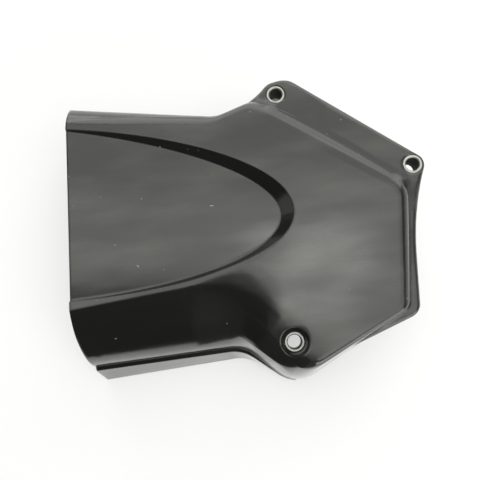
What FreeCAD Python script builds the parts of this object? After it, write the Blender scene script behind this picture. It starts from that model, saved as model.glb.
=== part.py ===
"""Sprocket cover: a moulded cover for a motorbike's front sprocket, with three metal bolt collars.

Drawn outside up in millimetres, with the lower bolt on the Z axis and the rim of the chain tunnel on Z = 0.
The rear end of the tunnel is open and faces -X. The finished pieces are moved so that the origin lies under
the middle of the cover.
"""
import FreeCAD
import Part
import math
import os
from collections import namedtuple
from FreeCAD import Vector

# Overall form
TOP_HEIGHT = 51.2
REAR_X = -104.8
WALL = 2.8

# Bolts, collars and the bosses round them
UPPER_BOLT_FORWARD = 2.1
UPPER_BOLT_ACROSS = 123.5
FRONT_BOLT_FORWARD = 65.1
FRONT_BOLT_ACROSS = 80.3
MOUNT_PLANE = 32.0
COLLAR_LENGTH = 12.0
COLLAR_BORE = 6.6
COLLAR_OUTSIDE = 9.6
COLLAR_CHAMFER = 0.4
COLLAR_FIT = 0.05
BOSS_WALL = 2.6
COUNTERBORE = 12.6
COUNTERBORE_LEAN = 3.0

# Flange that carries the two tabs, and the lip that runs on from it
UPPER_TAB_RADIUS = 7.5
UPPER_CREST_FORWARD = 3.5
UPPER_CREST_ACROSS = -2.6
UPPER_CREST_SWELL = 3.2
FRONT_TAB_RADIUS = 6.1
UPPER_COVE = 38.0
FRONT_COVE = 140.0
FRONT_LIP_AT_LOWER = 6.95
FRONT_LIP_AT_SLOPE = 4.15
LOWER_LIP_AT_FRONT = 5.3
LOWER_LIP_AT_LOBE = -1.1
LIP_CORNER = 7.0
LIP_END_X = 20.0
FLANGE_ROUND = 2.2
EDGE_FALL_AT_CREST = 3.1
EDGE_FALL_AT_FRONT = -1.4
EDGE_FALL_SLOPE = 28.0

# Stepped skirt of the tunnel
LEDGE_HEIGHT = 18.5
LEDGE_FALL = 1.4

# Lower edge: level along the tunnel, then rising to the mounting plane
RIM_END_X = -16.0
RIM_RISE_RUN = 28.0
RIM_BEND = 14.0

# Recessed panel, the front of an ellipse seen from above
PANEL_TIP_ACROSS = 60.3
PANEL_TIP_FORWARD = -0.9
PANEL_HEADING = 175.4
PANEL_HALF_LENGTH = 144.0
PANEL_REAR_HALF_WIDTH = 42.3
PANEL_TIP_DEPTH = 5.7
PANEL_REAR_DEPTH = 1.1
PANEL_WALL_SLOPE = 45.0
PANEL_RIM_FORWARD = 0.7
PANEL_RIM_ACROSS = 1.1

# Places worked out from those sizes
LOWER_BOLT = Vector(0, 0, 0)
UPPER_BOLT = Vector(UPPER_BOLT_FORWARD, UPPER_BOLT_ACROSS, 0)
FRONT_BOLT = Vector(FRONT_BOLT_FORWARD, FRONT_BOLT_ACROSS, 0)
UPPER_CREST = UPPER_BOLT + Vector(UPPER_CREST_FORWARD, UPPER_CREST_ACROSS, 0)
UPPER_CREST_RADIUS = UPPER_TAB_RADIUS + UPPER_CREST_SWELL
PANEL_TIP = Vector(PANEL_TIP_FORWARD, PANEL_TIP_ACROSS, 0)
PANEL_RIM_OFFSET = Vector(PANEL_RIM_FORWARD, PANEL_RIM_ACROSS, 0)
FLANGE_TOP = MOUNT_PLANE + COLLAR_LENGTH

# Corners of the hood where its walls would meet the top plane if nothing were rounded, with the radius of
# the corner seen from above, and the width of the ledge and lean of the skirt below it
Corner = namedtuple("Corner", "x y round ledge skirt_lean", defaults=(0.0, 0.0, 0.0))
REAR_NEAR = Corner(x=REAR_X, y=2.1, ledge=1.8, skirt_lean=20.6)
NEAR_FLANK = Corner(x=-23.5, y=7.1, round=17.5, ledge=1.8, skirt_lean=15.0)
LOBE = Corner(x=2.7, y=-15.0, round=10.0, ledge=0.5, skirt_lean=2.0)
LOWER_FRONT = Corner(x=53.2, y=11.8, round=6.0)
FRONT_SLOPE = Corner(x=59.5, y=65.4, round=8.0)
SLOPE_COVE = Corner(x=-14.5, y=118.4, round=7.0)
COVE_FAR = Corner(x=-27.0, y=114.2, round=18.0)
REAR_FAR = Corner(x=REAR_X, y=129.6)
SMALLEST_ROUND = 1.2
HOLLOW_ROUND = 18.0

# Shoulders above the walls: their radius, and the tilt at which they leave the top plane
Shoulder = namedtuple("Shoulder", "radius tilt", defaults=(0.0,))
BARREL_REAR = Shoulder(radius=45.0, tilt=20.0)
BARREL_FRONT = Shoulder(radius=44.0, tilt=13.0)
FLANK_REAR = Shoulder(radius=38.0, tilt=10.0)
FLANK_FRONT = Shoulder(radius=8.0)
LOWER_REAR = Shoulder(radius=3.5)
LOWER_NOSE = Shoulder(radius=2.0)
FRONT_NOSE = Shoulder(radius=5.5)
FRONT_FAR = Shoulder(radius=6.0)
SLOPE_EDGE = Shoulder(radius=5.0)
COVE_EDGE = Shoulder(radius=6.0)
FAR_FRONT = Shoulder(radius=9.0)
FAR_REAR = Shoulder(radius=19.0)

# Walls of the hood between those corners, with the shoulder above them at both ends, their lean from
# upright and how far they bow outwards
Side = namedtuple("Side", "start end start_shoulder end_shoulder lean bow", defaults=(0.0, 0.0))
NEAR = Side(REAR_NEAR, NEAR_FLANK, BARREL_REAR, BARREL_FRONT, lean=14.0)
FLANK = Side(NEAR_FLANK, LOBE, FLANK_REAR, FLANK_FRONT, lean=14.0)
LOWER = Side(LOBE, LOWER_FRONT, LOWER_REAR, LOWER_NOSE, lean=11.0)
FRONT = Side(LOWER_FRONT, FRONT_SLOPE, FRONT_NOSE, FRONT_FAR, lean=13.0)
SLOPE = Side(FRONT_SLOPE, SLOPE_COVE, SLOPE_EDGE, SLOPE_EDGE, lean=48.0, bow=2.2)
COVE = Side(SLOPE_COVE, COVE_FAR, COVE_EDGE, COVE_EDGE, lean=4.0)
FAR = Side(COVE_FAR, REAR_FAR, FAR_FRONT, FAR_REAR, lean=4.0)
REAR = Side(REAR_FAR, REAR_NEAR, FAR_REAR, BARREL_REAR)
SIDES = [NEAR, FLANK, LOWER, FRONT, SLOPE, COVE, FAR, REAR]
SKIRTED = [NEAR, FLANK]
SLOPE_FOOT = 2.8

# Webs inside, which run from the bosses at these headings
UPPER_GUSSET = 260.0
FRONT_GUSSET = 215.0
LOWER_GUSSET = 75.0
LOBE_GUSSET = 15.0
GUSSET_THICK = 2.0
GUSSET_LIFT = 3.0
GUSSET_FOOT = 10.0
GUSSET_RUN = 22.0
GUSSETS = [
    (UPPER_BOLT, UPPER_GUSSET),
    (FRONT_BOLT, FRONT_GUSSET),
    (LOWER_BOLT, LOWER_GUSSET),
    (LOWER_BOLT, LOBE_GUSSET),
]

# How far cutting shapes run past what they cut, how near counts as touching, and how the skin is divided
PAST = 6.0
FLANGE_CLOSE = 20.0
FOOT_STEP = 0.05
TOUCH = 1e-4
SHOULDER_SPANS = 6
WALL_SPANS = 2
INNER_SHOULDER_SPANS = 2
INNER_WALL_SPANS = 2

LEDGE_DROP = TOP_HEIGHT - LEDGE_HEIGHT
FLANGE_DROP = TOP_HEIGHT - FLANGE_TOP
SLOPE_END_DROP = FLANGE_DROP - FOOT_STEP


def tan(degrees):
    """Tangent of an angle in degrees."""
    return math.tan(math.radians(degrees))


def cos(degrees):
    """Cosine of an angle in degrees."""
    return math.cos(math.radians(degrees))


def heading(degrees):
    """Level unit vector at an angle from +X."""
    return Vector(cos(degrees), math.sin(math.radians(degrees)), 0)


def along(side):
    """Direction of a side, seen from above."""
    return Vector(side.end.x - side.start.x, side.end.y - side.start.y, 0).normalize()


def outward(side):
    """Level direction out of the cover, square to a side."""
    run = along(side)
    return Vector(run.y, -run.x, 0)


def shoulder_reach(drop, shoulder, lean, inset):
    """How far a rounded, leaning wall stands outside its corner line, for a skin set in by inset."""
    depth = drop - inset
    radius = max(shoulder.radius - inset, SMALLEST_ROUND)
    wall = inset * tan(lean) - inset / cos(lean)
    fall = radius * (cos(shoulder.tilt) - cos(90 - lean))
    if depth >= fall:
        return wall + depth * tan(lean)
    tilt = math.acos(cos(shoulder.tilt) - depth / radius)
    return wall + fall * tan(lean) - radius * (cos(lean) - math.sin(tilt))


def slope_reach(drop, shoulder, inset):
    """The same for the slope, which flares into the flange at its foot on the outside."""
    plain = shoulder_reach(min(drop, SLOPE_END_DROP + inset), shoulder, SLOPE.lean, inset)
    pitch = 90 - SLOPE.lean
    height = FLANGE_DROP - min(drop, SLOPE_END_DROP)
    if inset or height >= SLOPE_FOOT * (1 - cos(pitch)):
        return plain
    foot = shoulder_reach(FLANGE_DROP, shoulder, SLOPE.lean, inset) + SLOPE_FOOT * tan(pitch / 2)
    return foot - math.sqrt(SLOPE_FOOT ** 2 - (SLOPE_FOOT - height) ** 2)


def reach(side, corner, drop, inset):
    """How far a side stands outside its corner line at one of its corners, at a drop below the top."""
    shoulder = side.start_shoulder if corner is side.start else side.end_shoulder
    if side is REAR:
        return PAST if inset else 0.0
    if side is SLOPE:
        return slope_reach(drop, shoulder, inset)
    if side in SKIRTED and drop > LEDGE_DROP:
        below = drop - LEDGE_DROP
        step = corner.ledge * min(below / LEDGE_FALL, 1.0)
        wall = shoulder_reach(LEDGE_DROP, shoulder, side.lean, inset)
        return wall + step + below * tan(corner.skirt_lean)
    return shoulder_reach(drop, shoulder, side.lean, inset)


def wall_line(side, drop, inset):
    """Start and end of a side's wall at a drop below the top."""
    start = Vector(side.start.x, side.start.y, 0) + outward(side) * reach(side, side.start, drop, inset)
    end = Vector(side.end.x, side.end.y, 0) + outward(side) * reach(side, side.end, drop, inset)
    return start, end


def crossing(first, second):
    """Point where two lines, each given by two points, cross."""
    run = first[1] - first[0]
    other = second[1] - second[0]
    share = (second[0] - first[0]).cross(other).z / run.cross(other).z
    return first[0] + run * share


def round_corner(line, following, radius):
    """Start, middle and end of the arc that rounds the corner between two lines."""
    before = (line[1] - line[0]).normalize()
    after = (following[1] - following[0]).normalize()
    half_turn = before.getAngle(after) / 2
    point = crossing(line, following)
    setback = radius * math.tan(half_turn)
    middle = point + (after - before).normalize() * radius * (1 / math.cos(half_turn) - 1)
    return point - before * setback, middle, point + after * setback


def path_wire(spans, height):
    """Wire at a height from spans of (start, middle, end), straight where there is no middle."""
    lift = Vector(0, 0, height)
    edges = []
    for start, middle, end in spans:
        if middle is None:
            edges.append(Part.makeLine(start + lift, end + lift))
        else:
            edges.append(Part.Arc(start + lift, middle + lift, end + lift).toShape())
    return Part.Wire(edges)


def corner_radius(side, drop, inset):
    """Radius, seen from above, of the corner at a side's end. It grows outwards, or shrinks in a hollow."""
    following = SIDES[(SIDES.index(side) + 1) % len(SIDES)]
    mean = (reach(side, side.end, drop, inset) + reach(following, side.end, drop, inset)) / 2
    if along(side).cross(along(following)).z < 0:
        return max(side.end.round - mean, HOLLOW_ROUND + inset)
    return max(side.end.round + mean, SMALLEST_ROUND)


def contour(drop, inset):
    """Level outline of the hood's skin at a drop below the top, with an arc for each rounded corner."""
    lines = [wall_line(side, drop, inset) for side in SIDES]
    corners = []
    for index, side in enumerate(SIDES):
        following = lines[(index + 1) % len(lines)]
        radius = corner_radius(side, drop, inset) if side.end.round else 0.0
        corners.append(round_corner(lines[index], following, radius))
    spans = []
    for index, side in enumerate(SIDES):
        start = corners[index - 1][2]
        end = corners[index][0]
        middle = (start + end) / 2 + outward(side) * side.bow
        spans.append((start, middle if side.bow else None, end))
        if side.end.round:
            spans.append(corners[index])
    return path_wire(spans, TOP_HEIGHT - drop)


def hood(inset):
    """Solid inside the hood's skin, down to the rim: shoulders, leaning walls and stepped skirt."""
    shoulder_spans = INNER_SHOULDER_SPANS if inset else SHOULDER_SPANS
    wall_spans = INNER_WALL_SPANS if inset else WALL_SPANS
    plain = inset > 0
    wall_top = SLOPE_END_DROP + inset
    wall_fall = LEDGE_DROP - wall_top
    eased = [(1 - cos(180 * n / shoulder_spans)) / 2 for n in range(shoulder_spans + 1)]
    shoulder_drops = [inset + SLOPE_END_DROP * share for share in eased]
    wall_drops = [wall_top + wall_fall * n / wall_spans for n in range(wall_spans + 1)]
    foot_drop = TOP_HEIGHT + (PAST if inset else 0.0)
    skirt_drops = [LEDGE_DROP, LEDGE_DROP + LEDGE_FALL, foot_drop]
    crown = Part.makeLoft([contour(drop, inset) for drop in shoulder_drops], True, plain)
    walls = Part.makeLoft([contour(drop, inset) for drop in wall_drops], True, plain)
    skirt = Part.makeLoft([contour(drop, inset) for drop in skirt_drops], True, True)
    return crown.fuse([walls, skirt])


def cove_to_tab(line, bolt, tab_radius, cove_radius, way):
    """Hollow arc from a line beside a wall to a round tab. way is 1 or -1: after or before the tab."""
    run = (line[1] - line[0]).normalize()
    out = Vector(run.y, -run.x, 0)
    base = line[0] + out * cove_radius
    offset = base - bolt
    nearest = -offset.dot(run)
    spread = math.sqrt((cove_radius + tab_radius) ** 2 - offset.dot(offset) + nearest ** 2)
    centre = base + run * (nearest + way * spread)
    on_line = centre - out * cove_radius
    on_tab = bolt + (centre - bolt).normalize() * tab_radius
    middle = centre + (on_line + on_tab - centre * 2).normalize() * cove_radius
    return on_line, middle, on_tab


def outer_tangent(first, first_radius, second, second_radius):
    """Points where a line touches two circles, on its right as it runs from the first to the second."""
    run = second - first
    turn = math.asin((first_radius - second_radius) / run.Length)
    square = Vector(run.y, -run.x, 0).normalize()
    normal = square * math.cos(turn) + run.normalize() * math.sin(turn)
    return first + normal * first_radius, second + normal * second_radius


def tab_arc(start, bolt, radius, end):
    """Round end of a tab, outside its bolt."""
    return start, bolt + (start + end - bolt * 2).normalize() * radius, end


def lip_line(side, start_out, end_out):
    """Line beside a wall of the hood, out from its corner line at both ends."""
    start = Vector(side.start.x, side.start.y, 0) + outward(side) * start_out
    end = Vector(side.end.x, side.end.y, 0) + outward(side) * end_out
    return start, end


def flange_spans(inset):
    """Edge of the flange and lip that is seen, from the lip's end to the far wall, set in by inset."""
    front_tab = FRONT_TAB_RADIUS - inset
    upper_tab = UPPER_TAB_RADIUS - inset
    crest_radius = UPPER_CREST_RADIUS - inset
    front_line = lip_line(FRONT, FRONT_LIP_AT_LOWER - inset, FRONT_LIP_AT_SLOPE - inset)
    lower_line = lip_line(LOWER, LOWER_LIP_AT_LOBE - inset, LOWER_LIP_AT_FRONT - inset)
    far_out = reach(FAR, FAR.start, FLANGE_DROP, 0.0) - inset
    far_line = lip_line(FAR, far_out, far_out)
    corner = round_corner(lower_line, front_line, LIP_CORNER - inset)
    front_cove = cove_to_tab(front_line, FRONT_BOLT, front_tab, FRONT_COVE + inset, -1)
    far_cove = cove_to_tab(far_line, UPPER_BOLT, upper_tab, UPPER_COVE + inset, 1)
    edge = outer_tangent(FRONT_BOLT, front_tab, UPPER_CREST, crest_radius)
    crest = outer_tangent(UPPER_CREST, crest_radius, UPPER_BOLT, upper_tab)
    end_share = (LIP_END_X + inset - lower_line[0].x) / (lower_line[1].x - lower_line[0].x)
    lip_end = lower_line[0] + (lower_line[1] - lower_line[0]) * end_share
    return [
        (lip_end, None, corner[0]),
        corner,
        (corner[2], None, front_cove[0]),
        front_cove,
        tab_arc(front_cove[2], FRONT_BOLT, front_tab, edge[0]),
        (edge[0], None, edge[1]),
        tab_arc(edge[1], UPPER_CREST, crest_radius, crest[0]),
        (crest[0], None, crest[1]),
        tab_arc(crest[1], UPPER_BOLT, upper_tab, far_cove[2]),
        far_cove[::-1],
    ]


def flange_wire(inset, height):
    """Outline of the flange and lip, closed through the inside of the hood."""
    spans = flange_spans(inset)
    lip_end = spans[0][0]
    far_end = spans[-1][2]
    lip_inside = lip_end - outward(LOWER) * FLANGE_CLOSE
    far_inside = far_end - outward(FAR) * FLANGE_CLOSE
    spans.append((far_end, None, far_inside))
    spans.append((far_inside, None, lip_inside))
    spans.append((lip_inside, None, lip_end))
    return path_wire(spans, height)


def flange(inset):
    """Block under the flange's top face, down to the rim."""
    foot = -PAST if inset else 0.0
    top = FLANGE_TOP - inset
    block = Part.Face(flange_wire(inset, foot)).extrude(Vector(0, 0, top - foot))
    if inset:
        return block.Solids[0]
    seen = path_wire(flange_spans(inset), top)
    rounded = [edge for edge in block.Edges if lies_on(edge, seen)]
    return block.makeFillet(FLANGE_ROUND, rounded).cut(edge_fall())


def edge_fall():
    """Space above the sloped band along the flange's straight edge, widest at the upper tab."""
    start, end = outer_tangent(FRONT_BOLT, FRONT_TAB_RADIUS, UPPER_CREST, UPPER_CREST_RADIUS)
    run = (end - start).normalize()
    out = Vector(run.y, -run.x, 0)
    lift = Vector(0, 0, FLANGE_TOP)
    start = start - out * EDGE_FALL_AT_FRONT + lift
    end = end - out * EDGE_FALL_AT_CREST + lift
    start = start - run * 2 * PAST
    end = end + run * 2 * PAST
    fall = out * PAST - Vector(0, 0, PAST * tan(EDGE_FALL_SLOPE))
    face = Part.Face(Part.makePolygon([start, end, end + fall, start + fall, start]))
    return face.extrude(Vector(0, 0, PAST))


def lies_on(edge, wire):
    """Whether an edge's middle lies on a wire or another edge."""
    middle = edge.valueAt((edge.FirstParameter + edge.LastParameter) / 2)
    return wire.distToShape(Part.Vertex(middle))[0] < TOUCH


def panel_outline(growth, height):
    """Ellipse of the panel's wall at a height, grown outwards and closed behind the rear end."""
    axis = heading(PANEL_HEADING)
    square = Vector(-axis.y, axis.x, 0)
    length = (REAR_X - PANEL_TIP.x) / axis.x
    rear_width = PANEL_REAR_HALF_WIDTH - (PANEL_TIP_DEPTH - PANEL_REAR_DEPTH) / tan(PANEL_WALL_SLOPE)
    half_width = rear_width / math.sqrt(1 - (1 - length / PANEL_HALF_LENGTH) ** 2)
    centre = PANEL_TIP + axis * PANEL_HALF_LENGTH + Vector(0, 0, height)
    nose = centre - axis * (PANEL_HALF_LENGTH + growth)
    flank = centre + square * (half_width + growth)
    ellipse = Part.Ellipse(nose, flank, centre)
    end_turn = math.acos((PANEL_HALF_LENGTH - length - 2 * PAST) / (PANEL_HALF_LENGTH + growth))
    edge = Part.Arc(ellipse, -end_turn, end_turn).toShape()
    ends = [edge.valueAt(edge.LastParameter), edge.valueAt(edge.FirstParameter)]
    return Part.Wire([edge, Part.makeLine(*ends)])


def panel(inset):
    """Recess of the panel: sloped wall round a floor that falls towards the tip, both set in by inset."""
    tip_floor = TOP_HEIGHT - PANEL_TIP_DEPTH
    growth = inset / math.sin(math.radians(PANEL_WALL_SLOPE))
    heights = [tip_floor - inset - PAST, TOP_HEIGHT + PAST]
    outlines = [panel_outline(growth + (z - tip_floor) / tan(PANEL_WALL_SLOPE), z) for z in heights]
    for outline, z in zip(outlines, heights):
        outline.translate(PANEL_RIM_OFFSET * ((z - tip_floor) / PANEL_TIP_DEPTH))
    bowl = Part.makeLoft(outlines, True, True)
    axis = heading(PANEL_HEADING)
    square = Vector(-axis.y, axis.x, 0)
    length = (REAR_X - PANEL_TIP.x) / axis.x
    fall = (PANEL_TIP_DEPTH - PANEL_REAR_DEPTH) / length
    start = PANEL_TIP - square * length - axis * length + Vector(0, 0, tip_floor - inset - fall * length)
    end = start + axis * 3 * length + Vector(0, 0, 3 * fall * length)
    sky = Vector(0, 0, TOP_HEIGHT)
    side_face = Part.Face(Part.makePolygon([start, end, end + sky, start + sky, start]))
    return bowl.common(side_face.extrude(square * 2 * length))


def collar(bolt):
    """Metal sleeve that takes a bolt's clamping force, with broken edges at the bolt's head."""
    foot = bolt + Vector(0, 0, MOUNT_PLANE)
    sleeve = Part.makeCylinder(COLLAR_OUTSIDE / 2, COLLAR_LENGTH, foot)
    sleeve = sleeve.cut(Part.makeCylinder(COLLAR_BORE / 2, COLLAR_LENGTH, foot))
    rims = [edge for edge in sleeve.Edges if edge.BoundBox.ZMin > FLANGE_TOP - TOUCH]
    return sleeve.makeChamfer(COLLAR_CHAMFER, rims)


def boss(bolt, inside, top):
    """Pillar round a hole, from the mounting plane up."""
    return Part.makeCylinder(inside / 2 + BOSS_WALL, top - MOUNT_PLANE, bolt + Vector(0, 0, MOUNT_PLANE))


def gusset(bolt, degrees):
    """Triangular web that ties a boss to the skin above it."""
    run = heading(degrees)
    square = Vector(-run.y, run.x, 0)
    foot = bolt + Vector(0, 0, MOUNT_PLANE + GUSSET_LIFT) - square * GUSSET_THICK / 2
    top = bolt + Vector(0, 0, TOP_HEIGHT) - square * GUSSET_THICK / 2
    half = Part.Face(Part.makePolygon([foot, foot + run * GUSSET_FOOT, top + run * GUSSET_RUN, top, foot]))
    return half.extrude(square * GUSSET_THICK)


def bolt_hole(bolt):
    """Hole that a collar sits in."""
    radius = COLLAR_OUTSIDE / 2 + COLLAR_FIT
    return Part.makeCylinder(radius, COLLAR_LENGTH + 2 * PAST, bolt + Vector(0, 0, MOUNT_PLANE - PAST))


def counterbore():
    """Tapered sink for the lower bolt's head, open at the top."""
    depth = TOP_HEIGHT + PAST - FLANGE_TOP
    base = COUNTERBORE / 2
    mouth = base + depth * tan(COUNTERBORE_LEAN)
    return Part.makeCone(base, mouth, depth, LOWER_BOLT + Vector(0, 0, FLANGE_TOP))


def rim_cut():
    """Space under the front of the cover, where the lower edge rises to the mounting plane."""
    slide = PAST * RIM_RISE_RUN / MOUNT_PLANE
    near_y = LOBE.y - TOP_HEIGHT
    far_y = UPPER_CREST.y + UPPER_CREST_RADIUS + PAST
    start = Vector(RIM_END_X - slide, near_y, -PAST)
    knee = Vector(RIM_END_X + RIM_RISE_RUN, near_y, MOUNT_PLANE)
    far = Vector(FRONT_BOLT.x + FRONT_TAB_RADIUS + PAST, near_y, MOUNT_PLANE)
    low = Vector(far.x, near_y, -PAST)
    face = Part.Face(Part.makePolygon([start, knee, far, low, start]))
    block = face.extrude(Vector(0, far_y - near_y, 0))
    bend = Part.makeLine(knee, Vector(knee.x, far_y, knee.z))
    return block.makeFillet(RIM_BEND, [edge for edge in block.Edges if lies_on(edge, bend)])


def cover_shell():
    """The moulding: skin and hollow from the same form, bosses, holes, and the rising lower edge."""
    skin = hood(0.0).fuse(flange(0.0)).cut(panel(0.0))
    pillars = [
        boss(UPPER_BOLT, COLLAR_OUTSIDE, FLANGE_TOP),
        boss(FRONT_BOLT, COLLAR_OUTSIDE, FLANGE_TOP),
        boss(LOWER_BOLT, COUNTERBORE, TOP_HEIGHT),
    ]
    webs = [gusset(bolt, degrees) for bolt, degrees in GUSSETS]
    hollow = hood(WALL).fuse(flange(WALL)).cut([panel(WALL)] + pillars + webs)
    shell = skin.cut(hollow)
    holes = [bolt_hole(bolt) for bolt in (UPPER_BOLT, FRONT_BOLT, LOWER_BOLT)]
    return shell.cut(holes + [counterbore(), rim_cut()]).removeSplitter()


def main():
    """Build every piece, put the origin under the middle of the cover and write the pieces."""
    os.makedirs("parts", exist_ok=True)
    shell = cover_shell().Solids[0]
    box = shell.optimalBoundingBox(False)
    shift = Vector(-box.Center.x, -box.Center.y, -box.ZMin)
    pieces = {
        "cover_shell": shell,
        "upper_collar": collar(UPPER_BOLT),
        "front_collar": collar(FRONT_BOLT),
        "lower_collar": collar(LOWER_BOLT),
    }
    for name, piece in pieces.items():
        piece.translate(shift)
        piece.exportStep(f"parts/{name}.step")
        print(name, piece.isValid(), len(piece.Solids), round(piece.Volume), len(piece.Faces))
    print("origin in the drawing", -shift)


main()
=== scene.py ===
"""Looks of a motorbike's front sprocket cover: a satin black moulding with three metal bolt collars.

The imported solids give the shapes. The moulding is shown by a merged, smoothly shaded copy of its solid, and
each collar by its own solid in a metal finish. Lengths are in metres, in the part's own frame.
"""

import logging
import math
from dataclasses import dataclass
from enum import Enum

import bpy
from mathutils import Matrix, Quaternion, Vector

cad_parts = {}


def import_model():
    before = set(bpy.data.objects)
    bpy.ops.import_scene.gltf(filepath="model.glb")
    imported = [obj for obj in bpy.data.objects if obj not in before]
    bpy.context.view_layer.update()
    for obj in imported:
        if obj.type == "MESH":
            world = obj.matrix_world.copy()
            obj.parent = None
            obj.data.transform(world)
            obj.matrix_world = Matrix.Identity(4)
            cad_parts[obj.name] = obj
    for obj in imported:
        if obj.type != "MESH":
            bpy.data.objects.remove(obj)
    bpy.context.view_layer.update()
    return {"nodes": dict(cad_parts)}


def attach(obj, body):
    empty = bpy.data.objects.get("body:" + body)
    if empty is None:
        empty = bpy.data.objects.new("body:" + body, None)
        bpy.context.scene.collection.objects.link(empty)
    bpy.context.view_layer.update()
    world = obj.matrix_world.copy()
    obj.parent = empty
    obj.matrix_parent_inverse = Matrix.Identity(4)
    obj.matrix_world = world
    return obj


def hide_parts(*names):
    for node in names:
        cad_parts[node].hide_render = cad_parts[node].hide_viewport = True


Socket = bpy.types.NodeSocket
Pair = tuple[float, float]
Triple = tuple[float, float, float]
Colour = tuple[float, float, float, float]
Term = Socket | float | Triple | Colour

LOG = logging.getLogger("sprocket_cover")
MM = 0.001
BODY = "root"
COLLARS = ("upper_collar", "front_collar", "lower_collar")
UP: Triple = (0.0, 0.0, 1.0)
IN_PLAN: Triple = (1.0, 1.0, 0.0)
# Level direction that the slope above the flange faces.
SLOPE_OUT: Triple = (0.583, 0.8126, 0.0)
# Cosine of the angle between a face's normal and a roll's, over which the roll fades in.
NORMALS_AGREE: Pair = (0.2, 0.5)


class Slot(Enum):
    """Material slot names, which the log shows."""

    MOULDING = "moulding"
    COLLAR = "collar"


class Op(Enum):
    """Operations on numbers and vectors, by Blender's names."""

    ABSOLUTE = "ABSOLUTE"
    ADD = "ADD"
    DISTANCE = "DISTANCE"
    DIVIDE = "DIVIDE"
    DOT_PRODUCT = "DOT_PRODUCT"
    MAXIMUM = "MAXIMUM"
    MINIMUM = "MINIMUM"
    MULTIPLY = "MULTIPLY"
    NORMALIZE = "NORMALIZE"
    SCALE = "SCALE"
    SQRT = "SQRT"
    SUBTRACT = "SUBTRACT"


class NodeSheet:
    """A material and its node tree, with short ways to add and join nodes."""

    def __init__(self, name: str) -> None:
        """Start a material with an empty tree.

        Args:
            name: the material's name.
        """
        self.material = bpy.data.materials.new(name)
        self.material.use_nodes = True
        self.tree = self.material.node_tree
        self.tree.nodes.clear()

    def add(self, kind: str, **settings: str | int | bool) -> bpy.types.Node:
        """Add a node.

        Args:
            kind: the node's Blender type.
            **settings: properties of the node.

        Returns:
            The new node.
        """
        node = self.tree.nodes.new(kind)
        for name, value in settings.items():
            setattr(node, name, value)
        return node

    def join(self, source: Term, target: Socket) -> None:
        """Feed an input.

        Args:
            source: an output to join to it, or a constant to set on it.
            target: the input.
        """
        if isinstance(source, Socket):
            self.tree.links.new(source, target)
        else:
            target.default_value = source

    def surface(self, shader: Socket) -> None:
        """Show a shader on the surface."""
        self.join(shader, self.add("ShaderNodeOutputMaterial").inputs["Surface"])

    def place(self) -> Socket:
        """Give the coordinates on the part."""
        return self.add("ShaderNodeTexCoord").outputs["Object"]

    def number(self, operation: Op, *terms: Term) -> Socket:
        """Work out a number from numbers.

        Args:
            operation: what is done.
            *terms: one or two sockets or numbers.

        Returns:
            The result's socket.
        """
        node = self.add("ShaderNodeMath", operation=operation.value)
        for term, socket in zip(terms, node.inputs):
            self.join(term, socket)
        return node.outputs["Value"]

    def vector(self, operation: Op, *terms: Term) -> Socket:
        """Work out a vector or a number from vectors.

        Args:
            operation: what is done.
            *terms: one or two sockets or vectors.

        Returns:
            The result's socket.
        """
        node = self.add("ShaderNodeVectorMath", operation=operation.value)
        for term, socket in zip(terms, node.inputs):
            self.join(term, socket)
        return node.outputs["Value" if operation in (Op.DOT_PRODUCT, Op.DISTANCE) else "Vector"]

    def scaled(self, vector: Term, factor: Socket) -> Socket:
        """Scale a vector.

        Args:
            vector: a socket or a vector.
            factor: the factor's socket.

        Returns:
            The scaled vector's socket.
        """
        result = self.vector(Op.SCALE, vector)
        self.join(factor, result.node.inputs["Scale"])
        return result

    def split(self, vector: Socket) -> bpy.types.NodeOutputs:
        """Split a vector.

        Args:
            vector: the vector's socket.

        Returns:
            The sockets X, Y and Z.
        """
        node = self.add("ShaderNodeSeparateXYZ")
        self.join(vector, node.inputs["Vector"])
        return node.outputs

    def spread(self, value: Socket, span: Pair, result: Pair = (0.0, 1.0)) -> Socket:
        """Map a span of values onto another, held at its ends.

        Args:
            value: the socket to map.
            span: the values read, from its start to its end.
            result: the results at the start and the end.

        Returns:
            The mapped socket.
        """
        node = self.add("ShaderNodeMapRange", clamp=True)
        self.join(value, node.inputs["Value"])
        self.join(span[0], node.inputs["From Min"])
        self.join(span[1], node.inputs["From Max"])
        self.join(result[0], node.inputs["To Min"])
        self.join(result[1], node.inputs["To Max"])
        return node.outputs["Result"]

    def fades(self, *ends: tuple[Socket, Pair]) -> Socket:
        """Multiply fades to the share that all of them leave.

        Args:
            *ends: values, each with the span over which its share grows from none to all.

        Returns:
            The share's socket.
        """
        share, *others = (self.spread(value, span) for value, span in ends)
        for other in others:
            share = self.number(Op.MULTIPLY, share, other)
        return share

    def blend(self, share: Socket, first: Term, second: Term) -> Socket:
        """Blend two colours.

        Args:
            share: share of the second colour.
            first: a colour or its socket.
            second: a colour or its socket.

        Returns:
            The blended colour's socket.
        """
        node = self.add("ShaderNodeMix", data_type="RGBA")
        self.join(share, node.inputs["Factor"])
        self.join(first, node.inputs["A"])
        self.join(second, node.inputs["B"])
        return node.outputs["Result"]

    def leaning(self, out: Triple, sine: Socket) -> Socket:
        """Make a normal that leans from upright.

        Args:
            out: level direction that it leans to.
            sine: sine of its lean.

        Returns:
            The normal's socket.
        """
        squared = self.number(Op.MULTIPLY, sine, sine)
        cosine = self.number(Op.SQRT, self.number(Op.SUBTRACT, 1.0, squared))
        return self.vector(Op.ADD, self.scaled(out, sine), self.scaled(UP, cosine))

    def turned(self, normal: Socket, wanted: Socket, share: Socket) -> Socket:
        """Turn a normal part of the way to another.

        Args:
            normal: the normal to turn.
            wanted: the normal to turn it to.
            share: share of the wanted normal.

        Returns:
            The turned normal's socket, shorter than one where the share is between none and all.
        """
        kept = self.scaled(normal, self.number(Op.SUBTRACT, 1.0, share))
        return self.vector(Op.ADD, kept, self.scaled(wanted, share))


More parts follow.
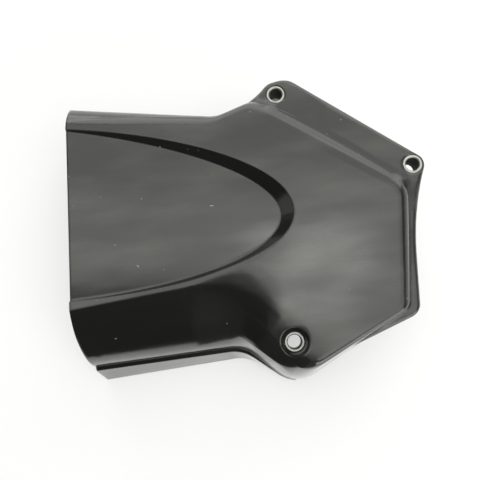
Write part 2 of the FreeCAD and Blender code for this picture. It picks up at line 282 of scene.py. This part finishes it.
@dataclass(frozen=True)
class Pattern:
    """A noise pattern: its cells per metre, its finer layers and the stretch of its coordinates."""

    cells: float
    detail: float
    stretch: Triple | None = None

    def draw(self, sheet: NodeSheet, place: Socket) -> Socket:
        """Draw the pattern.

        Args:
            sheet: the material's nodes.
            place: coordinates on the part.

        Returns:
            The pattern's value.
        """
        if self.stretch:
            mapping = sheet.add("ShaderNodeMapping")
            sheet.join(place, mapping.inputs["Vector"])
            sheet.join(self.stretch, mapping.inputs["Scale"])
            place = mapping.outputs["Vector"]
        node = sheet.add("ShaderNodeTexNoise")
        sheet.join(place, node.inputs["Vector"])
        sheet.join(self.cells, node.inputs["Scale"])
        sheet.join(self.detail, node.inputs["Detail"])
        return node.outputs["Fac"]


@dataclass(frozen=True)
class EdgeRounding:
    """How far the moulding's edges look rounded: more at the near corner, along the front and on the slope.

    The corner's reach is a distance from it, the front's is a place on X, and the slope's rise and fall are
    places along its level direction.
    """

    samples: int = 8
    plain: float = 1.6 * MM
    corner: Triple = (0.0, -40.0 * MM, 49.0 * MM)
    corner_reach: Pair = (12.0 * MM, 30.0 * MM)
    corner_radius: float = 7.0 * MM
    front_reach: Pair = (28.0 * MM, 45.0 * MM)
    front_radius: float = 2.8 * MM
    slope_rise: Pair = (44.0 * MM, 50.0 * MM)
    slope_fall: Pair = (59.0 * MM, 62.0 * MM)
    slope_radius: float = 6.0 * MM

    def draw(self, sheet: NodeSheet, place: Socket) -> Socket:
        """Draw the rounded edges.

        Args:
            sheet: the material's nodes.
            place: coordinates on the part.

        Returns:
            The rounded normal's socket.
        """
        from_corner = sheet.vector(Op.DISTANCE, place, self.corner)
        corner = sheet.spread(from_corner, self.corner_reach, (self.corner_radius, self.plain))
        front = sheet.spread(sheet.split(place)["X"], self.front_reach, (self.plain, self.front_radius))
        beyond = sheet.vector(Op.DOT_PRODUCT, place, SLOPE_OUT)
        rise = sheet.spread(beyond, self.slope_rise, (self.plain, self.slope_radius))
        fall = sheet.spread(beyond, self.slope_fall, (self.slope_radius, self.plain))
        slope = sheet.number(Op.MINIMUM, rise, fall)
        radius = sheet.number(Op.MAXIMUM, sheet.number(Op.MAXIMUM, corner, front), slope)
        rounded = sheet.add("ShaderNodeBevel", samples=self.samples)
        sheet.join(radius, rounded.inputs["Radius"])
        return rounded.outputs["Normal"]


@dataclass(frozen=True)
class FlankRoll:
    """The flank beside the lower bolt: a slow brow, a tight shoulder and a crisp edge to the wall.

    Brow, shoulder and wall are spans outwards from the flank's line, each with the sine of the lean that it
    ends at. The rear and front ends are shares of the flank's length, the inner and outer ends are places
    outwards, and the roll fades in from the first value of each end to the second.
    """

    start: Triple = (-11.2 * MM, -42.5 * MM, 0.0)
    run: Triple = (0.766, -0.643, 0.0)
    length: float = 43.1 * MM
    brow: Pair = (-18.0 * MM, -4.0 * MM)
    brow_sine: float = 0.085
    shoulder: Pair = (-4.0 * MM, 6.0 * MM)
    shoulder_sine: float = 0.85
    wall: Pair = (6.0 * MM, 6.5 * MM)
    wall_sine: float = 0.978
    rear_end: Pair = (0.10, 0.45)
    front_end: Pair = (0.90, 0.62)
    inner_end: Pair = (-21.0 * MM, -17.0 * MM)
    outer_end: Pair = (14.0 * MM, 12.0 * MM)
    foot: Pair = (20.0 * MM, 23.0 * MM)
    bolt: Triple = (16.8 * MM, -56.4 * MM, 0.0)
    around_bolt: Pair = (6.9 * MM, 7.6 * MM)

    @property
    def out(self) -> Triple:
        """Level direction outwards from the flank's line."""
        return (self.run[1], -self.run[0], 0.0)

    def draw(self, sheet: NodeSheet, place: Socket, normal: Socket) -> Socket:
        """Draw the roll.

        Args:
            sheet: the material's nodes.
            place: coordinates on the part.
            normal: the normal to fair.

        Returns:
            The faired normal's socket, which the corner's lean brings to unit length.
        """
        from_start = sheet.vector(Op.SUBTRACT, place, self.start)
        along = sheet.vector(Op.DOT_PRODUCT, from_start, self.run)
        out = sheet.vector(Op.DOT_PRODUCT, from_start, self.out)
        brow = sheet.spread(out, self.brow, (0.0, self.brow_sine))
        shoulder = sheet.spread(out, self.shoulder, (0.0, self.shoulder_sine - self.brow_sine))
        wall = sheet.spread(out, self.wall, (0.0, self.wall_sine - self.shoulder_sine))
        sine = sheet.number(Op.ADD, sheet.number(Op.ADD, brow, shoulder), wall)
        wanted = sheet.leaning(self.out, sine)
        plan = sheet.vector(Op.MULTIPLY, place, IN_PLAN)
        share = sheet.fades(
            (along, self.along(self.rear_end)),
            (along, self.along(self.front_end)),
            (out, self.inner_end),
            (out, self.outer_end),
            (sheet.split(place)["Z"], self.foot),
            (sheet.vector(Op.DISTANCE, plan, self.bolt), self.around_bolt),
            (sheet.vector(Op.DOT_PRODUCT, normal, wanted), NORMALS_AGREE),
        )
        return sheet.turned(normal, wanted, share)

    def along(self, shares: Pair) -> Pair:
        """Give the places along the flank at two shares of its length."""
        return (shares[0] * self.length, shares[1] * self.length)


@dataclass(frozen=True)
class CornerLean:
    """A slight lean of the top's face toward the near corner, which fades away from its middle."""

    middle: Triple = (-10.0 * MM, -35.0 * MM, 51.0 * MM)
    reach: Pair = (11.0 * MM, 24.0 * MM)
    lean: float = 0.13
    out: Triple = (-0.35, -0.94, 0.0)
    top: Pair = (49.8 * MM, 50.6 * MM)

    def draw(self, sheet: NodeSheet, place: Socket, normal: Socket) -> Socket:
        """Draw the lean.

        Args:
            sheet: the material's nodes.
            place: coordinates on the part.
            normal: the normal to lean.

        Returns:
            The leaning normal's socket.
        """
        from_middle = sheet.vector(Op.DISTANCE, place, self.middle)
        lean = sheet.spread(from_middle, self.reach, (self.lean, 0.0))
        lean = sheet.number(Op.MULTIPLY, lean, sheet.spread(sheet.split(place)["Z"], self.top))
        return sheet.vector(Op.NORMALIZE, sheet.vector(Op.ADD, normal, sheet.scaled(self.out, lean)))


@dataclass(frozen=True)
class SlopeRoll:
    """The slope above the flange, drawn as one soft roll.

    Its rise, fall and inner and outer ends are places along its level direction, its rear and front ends are
    places along its run, and the roll fades in from the first value of each end to the second.
    """

    run: Triple = (SLOPE_OUT[1], -SLOPE_OUT[0], 0.0)
    sine: float = 0.36
    rise: Pair = (49.0 * MM, 54.5 * MM)
    fall: Pair = (55.0 * MM, 62.0 * MM)
    inner_end: Pair = (46.0 * MM, 49.0 * MM)
    outer_end: Pair = (65.0 * MM, 62.5 * MM)
    rear_end: Pair = (-28.0 * MM, -18.0 * MM)
    front_end: Pair = (54.0 * MM, 46.0 * MM)
    foot: Pair = (41.5 * MM, 42.5 * MM)

    def draw(self, sheet: NodeSheet, place: Socket, normal: Socket) -> Socket:
        """Draw the roll.

        Args:
            sheet: the material's nodes.
            place: coordinates on the part.
            normal: the normal to fair.

        Returns:
            The faired normal's socket.
        """
        beyond = sheet.vector(Op.DOT_PRODUCT, place, SLOPE_OUT)
        along = sheet.vector(Op.DOT_PRODUCT, place, self.run)
        rise = sheet.spread(beyond, self.rise, (0.0, self.sine))
        fall = sheet.spread(beyond, self.fall, (self.sine, 0.0))
        wanted = sheet.leaning(SLOPE_OUT, sheet.number(Op.MINIMUM, rise, fall))
        share = sheet.fades(
            (beyond, self.inner_end),
            (beyond, self.outer_end),
            (along, self.rear_end),
            (along, self.front_end),
            (sheet.split(place)["Z"], self.foot),
            (sheet.vector(Op.DOT_PRODUCT, normal, wanted), NORMALS_AGREE),
        )
        return sheet.vector(Op.NORMALIZE, sheet.turned(normal, wanted, share))


@dataclass(frozen=True)
class PanelCrown:
    """The very low crown of the recessed panel, across an axis that runs back from its tip.

    The axis turns sideways and the floor rises by a share of the way back. The crown is full on the panel's
    floor and fades with the height above or below it.
    """

    tip: Triple = (15.9 * MM, 3.9 * MM, 45.5 * MM)
    turn: float = 0.0804
    rise: float = 0.0443
    radius: float = 400.0 * MM
    off_floor: Pair = (0.2 * MM, 0.5 * MM)

    def draw(self, sheet: NodeSheet, place: Socket, normal: Socket) -> Socket:
        """Draw the crown.

        Args:
            sheet: the material's nodes.
            place: coordinates on the part.
            normal: the normal to bend.

        Returns:
            The bent normal's socket.
        """
        axes = sheet.split(place)
        behind = sheet.number(Op.SUBTRACT, self.tip[0], axes["X"])
        across = sheet.number(Op.SUBTRACT, axes["Y"], self.tip[1])
        across = sheet.number(Op.SUBTRACT, across, sheet.number(Op.MULTIPLY, behind, self.turn))
        above = sheet.number(Op.SUBTRACT, axes["Z"], self.tip[2])
        above = sheet.number(Op.SUBTRACT, above, sheet.number(Op.MULTIPLY, behind, self.rise))
        on_floor = sheet.spread(sheet.number(Op.ABSOLUTE, above), self.off_floor, (1.0, 0.0))
        # A flat arc falls by the square of the way across over twice its radius.
        squared = sheet.number(Op.MULTIPLY, across, across)
        height = sheet.number(Op.DIVIDE, squared, -2.0 * self.radius)
        crowned = sheet.add("ShaderNodeBump")
        # The height is in metres already, so the bump's distance leaves it as it is.
        sheet.join(1.0, crowned.inputs["Distance"])
        sheet.join(on_floor, crowned.inputs["Strength"])
        sheet.join(height, crowned.inputs["Height"])
        sheet.join(normal, crowned.inputs["Normal"])
        return crowned.outputs["Normal"]


@dataclass(frozen=True)
class FineGrain:
    """The fine grain of the mould."""

    pattern: Pattern = Pattern(2500.0, 1.0)
    strength: float = 0.05
    depth: float = 0.05 * MM

    def draw(self, sheet: NodeSheet, place: Socket, normal: Socket) -> Socket:
        """Draw the grain.

        Args:
            sheet: the material's nodes.
            place: coordinates on the part.
            normal: the normal to roughen.

        Returns:
            The roughened normal's socket.
        """
        grain = sheet.add("ShaderNodeBump")
        sheet.join(self.strength, grain.inputs["Strength"])
        sheet.join(self.depth, grain.inputs["Distance"])
        sheet.join(self.pattern.draw(sheet, place), grain.inputs["Height"])
        sheet.join(normal, grain.inputs["Normal"])
        return grain.outputs["Normal"]


@dataclass(frozen=True)
class SatinMoulding:
    """Satin black injection-moulded plastic, a little worn, with smears and a few specks on its level faces.

    A pattern's span holds the values between which it turns from none to all.
    """

    dark: Colour = (0.007, 0.007, 0.007, 1.0)
    worn: Colour = (0.030, 0.030, 0.028, 1.0)
    speck: Colour = (0.16, 0.16, 0.15, 1.0)
    roughness: Pair = (0.12, 0.20)
    specular: float = 0.6
    clouds: Pattern = Pattern(60.0, 4.0, (0.3, 1.0, 1.0))
    clouds_span: Pair = (0.42, 0.68)
    level_span: Pair = (0.95, 0.99)
    dust: Pattern = Pattern(650.0, 0.0)
    dust_span: Pair = (0.875, 0.895)
    smears: Pattern = Pattern(110.0, 3.0, (0.2, 1.0, 1.0))
    smears_span: Pair = (0.35, 0.65)
    edges: EdgeRounding = EdgeRounding()
    flank: FlankRoll = FlankRoll()
    corner: CornerLean = CornerLean()
    slope: SlopeRoll = SlopeRoll()
    crown: PanelCrown = PanelCrown()
    grain: FineGrain = FineGrain()

    def make(self) -> bpy.types.Material:
        """Build the material.

        Returns:
            The material.
        """
        sheet = NodeSheet("satin_black_moulding")
        shader = sheet.add("ShaderNodeBsdfPrincipled")
        sheet.surface(shader.outputs["BSDF"])
        place = sheet.place()
        smears = sheet.spread(self.smears.draw(sheet, place), self.smears_span, self.roughness)
        sheet.join(self.colour(sheet, place), shader.inputs["Base Color"])
        sheet.join(smears, shader.inputs["Roughness"])
        sheet.join(self.specular, shader.inputs["Specular IOR Level"])
        sheet.join(self.relief(sheet, place), shader.inputs["Normal"])
        return sheet.material

    def colour(self, sheet: NodeSheet, place: Socket) -> Socket:
        """Draw the black, clouded where it is level, with a few pale specks.

        Args:
            sheet: the material's nodes.
            place: coordinates on the part.

        Returns:
            The colour's socket.
        """
        facing = sheet.split(sheet.add("ShaderNodeNewGeometry").outputs["Normal"])
        clouded = sheet.fades(
            (facing["Z"], self.level_span),
            (self.clouds.draw(sheet, place), self.clouds_span),
        )
        specked = sheet.spread(self.dust.draw(sheet, place), self.dust_span)
        return sheet.blend(specked, sheet.blend(clouded, self.dark, self.worn), self.speck)

    def relief(self, sheet: NodeSheet, place: Socket) -> Socket:
        """Draw the rounded edges, the slow rolls, the panel's crown and the grain.

        Args:
            sheet: the material's nodes.
            place: coordinates on the part.

        Returns:
            The normal's socket.
        """
        normal = self.edges.draw(sheet, place)
        for form in (self.flank, self.corner, self.slope, self.crown, self.grain):
            normal = form.draw(sheet, place, normal)
        return normal


@dataclass(frozen=True)
class CollarMetal:
    """Dull metal of the bolt collars: bare and mottled on the face, with painted shade down the bore.

    The bore shade's span is the height over which the painted shade in the bore turns to bare metal. The
    mottle's spans hold the values between which it turns the face from pale to full colour and adds the wear
    to its roughness.
    """

    bare: Colour = (0.36, 0.36, 0.33, 1.0)
    pale_share: float = 0.75
    # Painted shade: a near-black, non-metal colour below the collar's face, standing in for the shade down
    # the bore.
    bore_shade: Colour = (0.025, 0.025, 0.024, 1.0)
    roughness: float = 0.36
    wear: float = 0.15
    bore_roughness: float = 0.8
    bore_shade_span: Pair = (43.2 * MM, 43.9 * MM)
    mottle: Pattern = Pattern(400.0, 3.0)
    tint_span: Pair = (0.35, 0.6)
    wear_span: Pair = (0.3, 0.7)

    def make(self) -> bpy.types.Material:
        """Build the material.

        Returns:
            The material.
        """
        sheet = NodeSheet("plated_collar")
        shader = sheet.add("ShaderNodeBsdfPrincipled")
        sheet.surface(shader.outputs["BSDF"])
        place = sheet.place()
        mottle = self.mottle.draw(sheet, place)
        # Share of bare metal; below this height the collar gets the painted bore shade, with no metal and
        # high roughness.
        unshaded = sheet.spread(sheet.split(place)["Z"], self.bore_shade_span)
        pale = tuple(self.pale_share * part for part in self.bare[:3]) + (1.0,)
        tint = sheet.blend(sheet.spread(mottle, self.tint_span), pale, self.bare)
        sheet.join(sheet.blend(unshaded, self.bore_shade, tint), shader.inputs["Base Color"])
        sheet.join(unshaded, shader.inputs["Metallic"])
        plain = sheet.spread(unshaded, (0.0, 1.0), (self.bore_roughness, self.roughness))
        worn = sheet.spread(mottle, self.wear_span, (0.0, self.wear))
        sheet.join(sheet.number(Op.ADD, plain, worn), shader.inputs["Roughness"])
        return sheet.material


def dress(piece: bpy.types.Object, finish: bpy.types.Material) -> None:
    """Give a piece its finish.

    Args:
        piece: the piece.
        finish: its material.
    """
    piece.data.materials.clear()
    piece.data.materials.append(finish)


@dataclass
class CoverShell:
    """The moulding, shown by a smooth copy of its solid."""

    node: bpy.types.Object
    merge_within: float = 0.004 * MM
    crease: float = math.radians(28.0)
    flat_weight: int = 80

    def build(self, finish: bpy.types.Material) -> bpy.types.Object:
        """Copy, merge, shade and dress the moulding.

        Args:
            finish: the moulding's material.

        Returns:
            The finished piece.
        """
        bpy.ops.object.select_all(action="DESELECT")
        self.node.select_set(True)
        bpy.context.view_layer.objects.active = self.node
        bpy.ops.object.duplicate()
        piece = bpy.context.view_layer.objects.active
        piece.name = "moulding"
        bpy.ops.object.mode_set(mode="EDIT")
        bpy.ops.mesh.select_all(action="SELECT")
        bpy.ops.mesh.remove_doubles(threshold=self.merge_within)
        bpy.ops.object.mode_set(mode="OBJECT")
        self.smooth(piece)
        dress(piece, finish)
        return piece

    def smooth(self, piece: bpy.types.Object) -> None:
        """Shade the rounds smooth and keep large flat faces flat.

        Args:
            piece: the merged copy, which is the active object.
        """
        bpy.ops.mesh.customdata_custom_splitnormals_clear()
        bpy.ops.object.shade_smooth_by_angle(angle=self.crease)
        bpy.ops.object.modifier_add(type="WEIGHTED_NORMAL")
        flattened = piece.modifiers[-1]
        flattened.mode = "FACE_AREA"
        flattened.weight = self.flat_weight
        flattened.keep_sharp = True
        bpy.ops.object.modifier_apply(modifier=flattened.name)


@dataclass
class BoltCollar:
    """A metal sleeve in a bolt hole, shown by its own solid."""

    node: bpy.types.Object

    def build(self, finish: bpy.types.Material) -> bpy.types.Object:
        """Dress the sleeve.

        Args:
            finish: the collar's material.

        Returns:
            The finished piece.
        """
        dress(self.node, finish)
        return self.node


@dataclass(frozen=True)
class SoftLamp:
    """A soft rectangular lamp: its centre, width and height, power in watts, aim and roll in degrees.

    A lamp with no aim faces straight down.
    """

    name: str
    place: Triple
    size: Pair
    power: float
    aim: Triple | None = None
    roll: float = 0.0

    def hang(self, tint: Triple) -> None:
        """Hang the lamp.

        Args:
            tint: colour of its light.
        """
        light = bpy.data.lights.new(self.name, "AREA")
        light.shape = "RECTANGLE"
        light.size, light.size_y = self.size
        light.energy = self.power
        light.color = tint
        lamp = bpy.data.objects.new(self.name, light)
        lamp.location = self.place
        towards = Vector(self.aim) - Vector(self.place) if self.aim else -Vector(UP)
        facing = towards.to_track_quat("-Z", "Y") @ Quaternion(UP, math.radians(self.roll))
        lamp.rotation_euler = facing.to_euler()
        bpy.context.scene.collection.objects.link(lamp)


@dataclass(frozen=True)
class DarkCard:
    """An upright dark card beside the part, seen only in its gloss.

    It has the two ends of its foot, its grey and its height.
    """

    start: Pair
    end: Pair
    tone: float
    height: float = 0.3

    def stand(self) -> None:
        """Stand the card on the floor."""
        start, end = Vector((*self.start, 0.0)), Vector((*self.end, 0.0))
        run = end - start
        middle = (start + end) / 2 + Vector((0.0, 0.0, self.height / 2))
        upright = Matrix((run, (0.0, 0.0, self.height), (run.y, -run.x, 0.0))).transposed()
        bpy.ops.object.select_all(action="DESELECT")
        bpy.ops.mesh.primitive_plane_add(size=1.0)
        card = bpy.context.view_layer.objects.active
        card.name = "dark_card"
        card.data.transform(Matrix.Translation(middle) @ upright.to_4x4())
        card.data.materials.append(self.cloth())
        card.visible_camera = False
        card.visible_shadow = False
        card.visible_diffuse = False

    def cloth(self) -> bpy.types.Material:
        """Build the card's material.

        Returns:
            The material.
        """
        sheet = NodeSheet("dark_cloth")
        matt = sheet.add("ShaderNodeBsdfDiffuse")
        sheet.join((self.tone, self.tone, self.tone, 1.0), matt.inputs["Color"])
        sheet.surface(matt.outputs["BSDF"])
        return sheet.material


LAMPS = (
    SoftLamp("ceiling_softbox", (0.0, 0.55, 1.0), (1.8, 1.3), 10.6),
    SoftLamp("side_ceiling", (0.62, -0.35, 1.0), (1.0, 0.7), 5.0),
    SoftLamp("far_softbox", (0.3, 1.4, 0.55), (2.6, 1.1), 22.0, aim=(0.0, 0.0, 0.05)),
    SoftLamp("right_softbox", (0.62, -1.05, 0.35), (1.3, 0.8), 12.5, aim=(0.03, -0.05, 0.04)),
    SoftLamp("front_softbox", (1.3, 0.15, 0.25), (0.8, 0.5), 1.2, aim=(0.0, 0.0, 0.05)),
    SoftLamp("rear_softbox", (-1.2, 0.0, 0.3), (0.8, 0.6), 0.6, aim=(0.0, 0.0, 0.05)),
    SoftLamp("ceiling_glow", (0.0, 0.11, 0.95), (0.9, 0.42), 0.6),
    SoftLamp("ceiling_lamp", (0.13, 0.055, 0.95), (0.11, 0.04), 0.7, roll=32.0),
    SoftLamp("ceiling_spot", (-0.01, 0.087, 0.95), (0.06, 0.04), 0.09),
)

DARK_CARDS = (
    DarkCard((-0.4, -0.12), (-0.01, -0.12), tone=0.05),
    DarkCard((-0.036, -0.096), (0.004, -0.130), tone=0.12),
    DarkCard((0.004, -0.130), (0.03, -0.142), tone=0.3),
)


@dataclass
class Studio:
    """Floor, lamps, dark cards and the room's light.

    The floor has a plain tone, a glow that only the camera sees and one that only gloss and glass see.
    """

    floor_size: float = 3.0
    floor_tone: float = 0.42
    floor_glow: float = 0.45
    mirrored_glow: float = 0.85
    lamp_tint: Triple = (1.0, 1.0, 0.95)
    room_colour: Colour = (1.0, 1.0, 1.0, 1.0)
    room_light: float = 0.25

    def build(self) -> None:
        """Build the floor, light the room, hang the lamps and stand the cards."""
        self.floor()
        self.room()
        for lamp in LAMPS:
            lamp.hang(self.lamp_tint)
        for card in DARK_CARDS:
            card.stand()

    def floor(self) -> None:
        """Lay the floor."""
        bpy.ops.object.select_all(action="DESELECT")
        bpy.ops.mesh.primitive_plane_add(size=self.floor_size)
        plane = bpy.context.view_layer.objects.active
        plane.name = "floor"
        plane.data.materials.append(self.pale_floor())

    def pale_floor(self) -> bpy.types.Material:
        """Build the floor's material.

        Returns:
            The material.
        """
        sheet = NodeSheet("pale_floor")
        matt = sheet.add("ShaderNodeBsdfDiffuse")
        sheet.join((self.floor_tone, self.floor_tone, self.floor_tone, 1.0), matt.inputs["Color"])
        glow = sheet.add("ShaderNodeEmission")
        rays = sheet.add("ShaderNodeLightPath").outputs
        mirrored = sheet.number(Op.MAXIMUM, rays["Is Glossy Ray"], rays["Is Transmission Ray"])
        mirrored = sheet.number(Op.MULTIPLY, mirrored, self.mirrored_glow)
        seen = sheet.number(Op.MULTIPLY, rays["Is Camera Ray"], self.floor_glow)
        sheet.join(sheet.number(Op.MAXIMUM, mirrored, seen), glow.inputs["Strength"])
        both = sheet.add("ShaderNodeAddShader")
        sheet.join(matt.outputs["BSDF"], both.inputs[0])
        sheet.join(glow.outputs["Emission"], both.inputs[1])
        sheet.surface(both.outputs["Shader"])
        return sheet.material

    def room(self) -> None:
        """Set the light of the room."""
        world = bpy.data.worlds.new("room")
        bpy.context.scene.world = world
        world.use_nodes = True
        background = world.node_tree.nodes["Background"]
        background.inputs["Color"].default_value = self.room_colour
        background.inputs["Strength"].default_value = self.room_light


@dataclass
class PhotoCamera:
    """Camera at the photograph's viewing angle.

    The frame, the focal length and the plumb point, which is straight below the camera, are in the frame's
    pixels. The stand is the camera's place, and the turn is the frame's about the upright axis.
    """

    frame: float = 480.0
    focal: float = 500.0
    plumb: Pair = (276.0, 320.0)
    stand: Triple = (9.0 * MM, -45.7 * MM, 284.0 * MM)
    turn: float = math.radians(4.5)
    sensor: float = 36.0
    near_clip: float = 10.0 * MM

    def place(self) -> None:
        """Put the camera in the scene."""
        middle = self.frame / 2
        aside = (self.plumb[0] - middle) / self.focal
        below = (middle - self.plumb[1]) / self.focal
        up = -Vector((aside, below, -1.0)).normalized()
        right = (Vector((1.0, 0.0, 0.0)) - up * up.x).normalized()
        turned = Matrix.Rotation(-self.turn, 3, "Z") @ Matrix((right, up.cross(right), up))
        data = bpy.data.cameras.new("photo_camera")
        data.sensor_width = self.sensor
        data.lens = self.sensor * self.focal / self.frame
        data.clip_start = self.near_clip
        camera = bpy.data.objects.new("photo_camera", data)
        camera.matrix_world = Matrix.Translation(self.stand) @ turned.to_4x4()
        bpy.context.scene.collection.objects.link(camera)
        bpy.context.scene.camera = camera


def main() -> None:
    """Build the pieces and the studio in order."""
    logging.basicConfig(level=logging.INFO)
    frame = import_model()
    nodes = frame["nodes"]
    shell = CoverShell(nodes["cover_shell"]).build(SatinMoulding().make())
    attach(shell, BODY)
    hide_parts("cover_shell")
    LOG.info("%s: %s, %d faces", shell.name, Slot.MOULDING.value, len(shell.data.polygons))
    metal = CollarMetal().make()
    for name in COLLARS:
        collar = BoltCollar(nodes[name]).build(metal)
        LOG.info("%s: %s, %d faces", name, Slot.COLLAR.value, len(collar.data.polygons))
    Studio().build()
    PhotoCamera().place()
    bpy.context.scene.view_settings.view_transform = "Standard"


if __name__ == "__main__":
    main()
